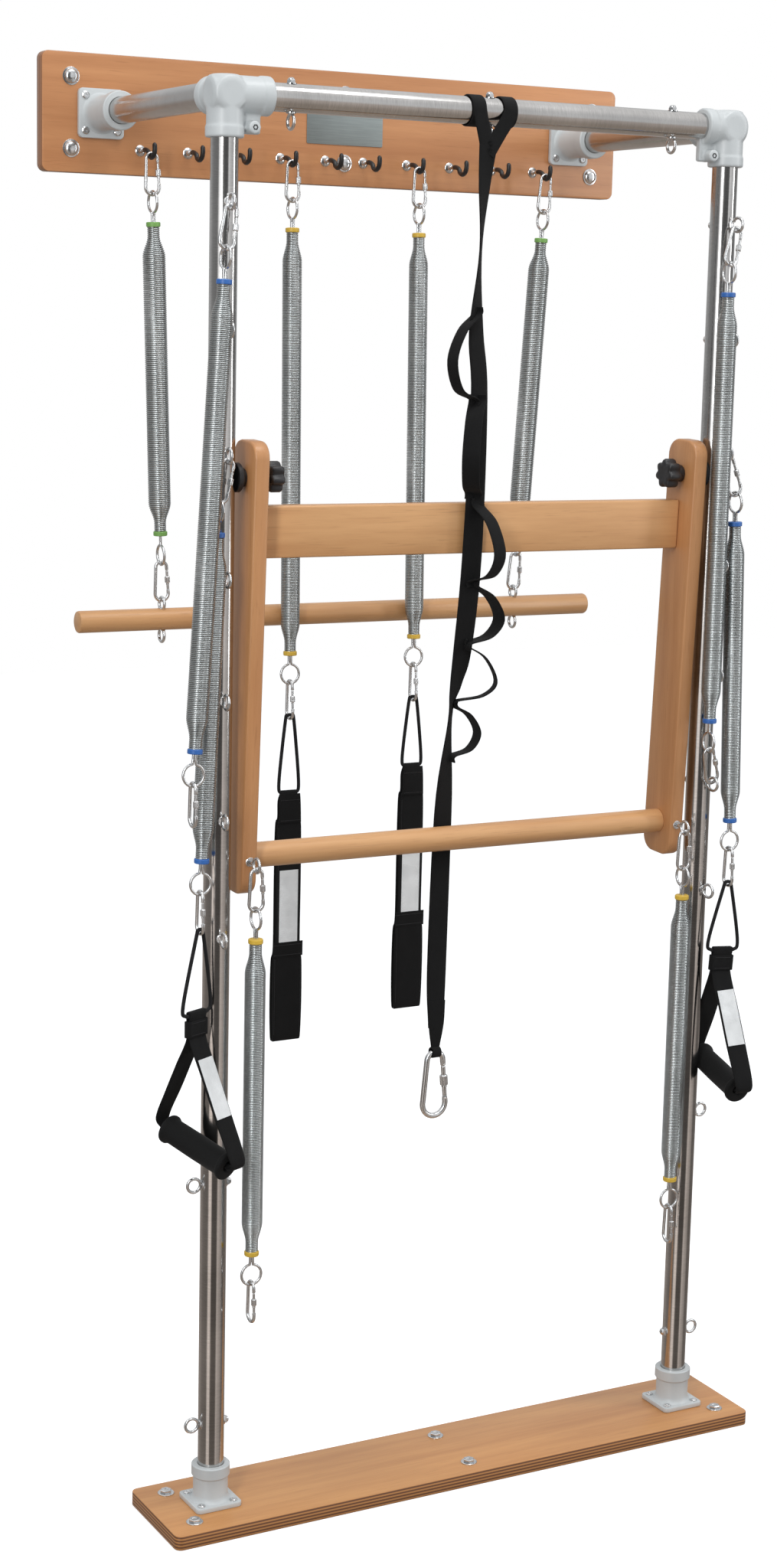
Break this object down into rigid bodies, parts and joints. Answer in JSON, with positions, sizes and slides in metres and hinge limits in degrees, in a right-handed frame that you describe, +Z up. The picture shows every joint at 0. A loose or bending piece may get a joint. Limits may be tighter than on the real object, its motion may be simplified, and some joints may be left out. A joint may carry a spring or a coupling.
{
  "type": "pilates tower unit",
  "caption": "Wall-mounted pilates tower: two uprights on a floor board, a wall board with hooks, push-through frame, roll-down bar, hanging springs, loops and handles.",
  "frame": {"origin": "middle of the wall board's back face, which lies on the wall", "axes": "+X to the right as seen from the front, +Y into the wall, +Z up"},
  "size_m": [1.1, 0.6328, 2.324],
  "materials": {
    "beech": "clear satin lacquer",
    "steel_tube": "polished stainless tube",
    "casting": "light grey paint",
    "zinc_steel": "bright zinc plate",
    "webbing": "woven polyester",
    "foam": "soft foam",
    "black_plastic": "moulded"
  },
  "bodies": {
    "tower": {"floor_board": "beech", "wall_board": "beech", "top_crossbar": "steel_tube", "upright_left": "steel_tube", "upright_right": "steel_tube", "wall_arm_left": "steel_tube", "wall_arm_right": "steel_tube", "floor_socket_left": "casting", "floor_socket_right": "casting", "wall_flange_left": "casting", "wall_flange_right": "casting", "corner_fitting_left": "casting", "corner_fitting_right": "casting", "pivot_spacer_left": "black_plastic", "pivot_spacer_right": "black_plastic", "arm_spring_long_right": "zinc_steel", "arm_spring_long_right_upper_carabiner": "zinc_steel", "arm_spring_long_right_lower_carabiner": "zinc_steel", "hand_spring_left": "zinc_steel", "hand_spring_left_upper_carabiner": "zinc_steel", "hand_spring_right_upper_carabiner": "zinc_steel"},
    "push_frame": {"push_arm_left": "beech", "push_arm_right": "beech", "push_rail": "beech", "push_bar": "beech"},
    "knob_left": {"pivot_knob_left": "black_plastic"},
    "knob_right": {"pivot_knob_right": "black_plastic"},
    "roll_springs": {"roll_spring_left": "zinc_steel", "roll_spring_right": "zinc_steel", "roll_spring_left_upper_carabiner": "zinc_steel", "roll_spring_right_upper_carabiner": "zinc_steel"},
    "roll_bar": {"roll_down_bar": "beech", "roll_spring_left_lower_carabiner": "zinc_steel", "roll_spring_right_lower_carabiner": "zinc_steel"},
    "push_spring_left": {"push_spring_left": "zinc_steel", "push_spring_left_upper_carabiner": "zinc_steel"},
    "push_spring_left_end": {"push_spring_left_lower_carabiner": "zinc_steel"},
    "push_spring_right": {"push_spring_right": "zinc_steel", "push_spring_right_upper_carabiner": "zinc_steel"},
    "push_spring_right_end": {"push_spring_right_lower_carabiner": "zinc_steel"},
    "foot_spring_left": {"foot_spring_left": "zinc_steel", "foot_spring_left_upper_carabiner": "zinc_steel"},
    "foot_loop_left": {"foot_spring_left_lower_carabiner": "zinc_steel", "foot_strap_left": "webbing"},
    "foot_spring_right": {"foot_spring_right": "zinc_steel", "foot_spring_right_upper_carabiner": "zinc_steel"},
    "foot_loop_right": {"foot_spring_right_lower_carabiner": "zinc_steel", "foot_strap_right": "webbing"},
    "arm_spring_left": {"arm_spring_long_left": "zinc_steel", "arm_spring_long_left_upper_carabiner": "zinc_steel"},
    "arm_spring_left_end": {"arm_spring_long_left_lower_carabiner": "zinc_steel"},
    "hand_spring_left_end": {"hand_spring_left_lower_carabiner": "zinc_steel"},
    "handle_left": {"hand_strap_left": "webbing"},
    "grip_left": {"hand_grip_left": "foam"},
    "hand_spring_right": {"hand_spring_right": "zinc_steel"},
    "hand_spring_right_end": {"hand_spring_right_lower_carabiner": "zinc_steel"},
    "handle_right": {"hand_strap_right": "webbing"},
    "grip_right": {"hand_grip_right": "foam"},
    "loop_strap": {"loop_strap": "webbing"},
    "strap_end": {"strap_carabiner": "zinc_steel"}
  },
  "joints": [
    {"name": "push_swing", "type": "hinge", "parent": "tower", "child": "push_frame", "pos_m": [0, -0.51, -0.56], "axis": [-1, 0, 0], "range_deg": [0, 60]},
    {"name": "knob_left_turn", "type": "hinge", "parent": "tower", "child": "knob_left", "pos_m": [-0.37, -0.51, -0.56], "axis": [1, 0, 0], "continuous": true},
    {"name": "knob_right_turn", "type": "hinge", "parent": "tower", "child": "knob_right", "pos_m": [0.37, -0.51, -0.56], "axis": [1, 0, 0], "continuous": true},
    {"name": "push_spring_left_swing", "type": "hinge", "parent": "push_frame", "child": "push_spring_left", "pos_m": [-0.3998, -0.54712, -1.15869], "axis": [-1, 0, 0], "range_deg": [-18, 60]},
    {"name": "push_spring_left_pull", "type": "slide", "parent": "push_spring_left", "child": "push_spring_left_end", "axis": [0, 0, -1], "range_m": [0, 0.2], "stiffness_N_per_m": 350, "springref_m": -0.1, "deforming": ["push_spring_left"]},
    {"name": "push_spring_right_swing", "type": "hinge", "parent": "push_frame", "child": "push_spring_right", "pos_m": [0.3998, -0.54712, -1.15869], "axis": [-1, 0, 0], "range_deg": [-18, 60]},
    {"name": "push_spring_right_pull", "type": "slide", "parent": "push_spring_right", "child": "push_spring_right_end", "axis": [0, 0, -1], "range_m": [0, 0.2], "stiffness_N_per_m": 350, "springref_m": -0.1, "deforming": ["push_spring_right"]},
    {"name": "roll_swing", "type": "hinge", "parent": "tower", "child": "roll_springs", "pos_m": [0, -0.072, -0.0608], "axis": [-1, 0, 0], "range_deg": [0, 9]},
    {"name": "roll_pull", "type": "slide", "parent": "roll_springs", "child": "roll_bar", "axis": [0, 0, -1], "range_m": [0, 0.25], "stiffness_N_per_m": 800, "springref_m": -0.1, "deforming": ["roll_spring_left", "roll_spring_right"]},
    {"name": "foot_spring_left_swing", "type": "hinge", "parent": "roll_springs", "child": "foot_spring_left", "pos_m": [-0.122, -0.072, -0.0608], "axis": [-1, 0, 0], "range_deg": [0, 6]},
    {"name": "foot_spring_left_pull", "type": "slide", "parent": "foot_spring_left", "child": "foot_loop_left", "axis": [0, 0, -1], "range_m": [0, 0.25], "stiffness_N_per_m": 350, "springref_m": -0.1, "deforming": ["foot_spring_left"]},
    {"name": "foot_spring_right_swing", "type": "hinge", "parent": "roll_springs", "child": "foot_spring_right", "pos_m": [0.122, -0.072, -0.0608], "axis": [-1, 0, 0], "range_deg": [0, 6]},
    {"name": "foot_spring_right_pull", "type": "slide", "parent": "foot_spring_right", "child": "foot_loop_right", "axis": [0, 0, -1], "range_m": [0, 0.25], "stiffness_N_per_m": 350, "springref_m": -0.1, "deforming": ["foot_spring_right"]},
    {"name": "arm_spring_left_swing", "type": "hinge", "parent": "tower", "child": "arm_spring_left", "pos_m": [-0.45237, -0.54392, -0.1604], "axis": [-1, 0, 0], "range_deg": [0, 25]},
    {"name": "arm_spring_left_pull", "type": "slide", "parent": "arm_spring_left", "child": "arm_spring_left_end", "axis": [0, 0, -1], "range_m": [0, 0.25], "stiffness_N_per_m": 350, "springref_m": -0.1, "deforming": ["arm_spring_long_left"]},
    {"name": "hand_spring_left_pull", "type": "slide", "parent": "tower", "child": "hand_spring_left_end", "axis": [0, 0, -1], "range_m": [0, 0.05], "stiffness_N_per_m": 350, "springref_m": -0.1, "deforming": ["hand_spring_left"]},
    {"name": "handle_left_swing", "type": "hinge", "parent": "hand_spring_left_end", "child": "handle_left", "pos_m": [-0.49403, -0.54602, -1.24174], "axis": [-1, 0, 0], "range_deg": [0, 40]},
    {"name": "grip_left_turn", "type": "hinge", "parent": "handle_left", "child": "grip_left", "pos_m": [-0.49403, -0.54602, -1.59279], "axis": [0.391, -0.8782, -0.2756], "continuous": true},
    {"name": "hand_spring_right_swing", "type": "hinge", "parent": "tower", "child": "hand_spring_right", "pos_m": [0.4748, -0.5455, -0.5897], "axis": [-1, 0, 0], "range_deg": [0, 25]},
    {"name": "hand_spring_right_pull", "type": "slide", "parent": "hand_spring_right", "child": "hand_spring_right_end", "axis": [0, 0, -1], "range_m": [0, 0.05], "stiffness_N_per_m": 350, "springref_m": -0.1, "deforming": ["hand_spring_right"]},
    {"name": "handle_right_swing", "type": "hinge", "parent": "hand_spring_right_end", "child": "handle_right", "pos_m": [0.49339, -0.54805, -1.2496], "axis": [-1, 0, 0], "range_deg": [0, 40]},
    {"name": "grip_right_turn", "type": "hinge", "parent": "handle_right", "child": "grip_right", "pos_m": [0.49339, -0.54805, -1.59165], "axis": [-0.068, -0.972, -0.225], "continuous": true},
    {"name": "loop_strap_swing", "type": "hinge", "parent": "tower", "child": "loop_strap", "pos_m": [0, -0.51, 0], "axis": [-1, 0, 0], "range_deg": [0, 30]},
    {"name": "strap_carabiner_swing", "type": "hinge", "parent": "loop_strap", "child": "strap_end", "pos_m": [-0.024, -0.459, -1.518], "axis": [-1, 0, 0], "range_deg": [-40, 40]}
  ],
  "couplings": [
    {"joint": "loop_strap_swing", "follows": "push_swing", "ratio": 0.5}
  ]
}
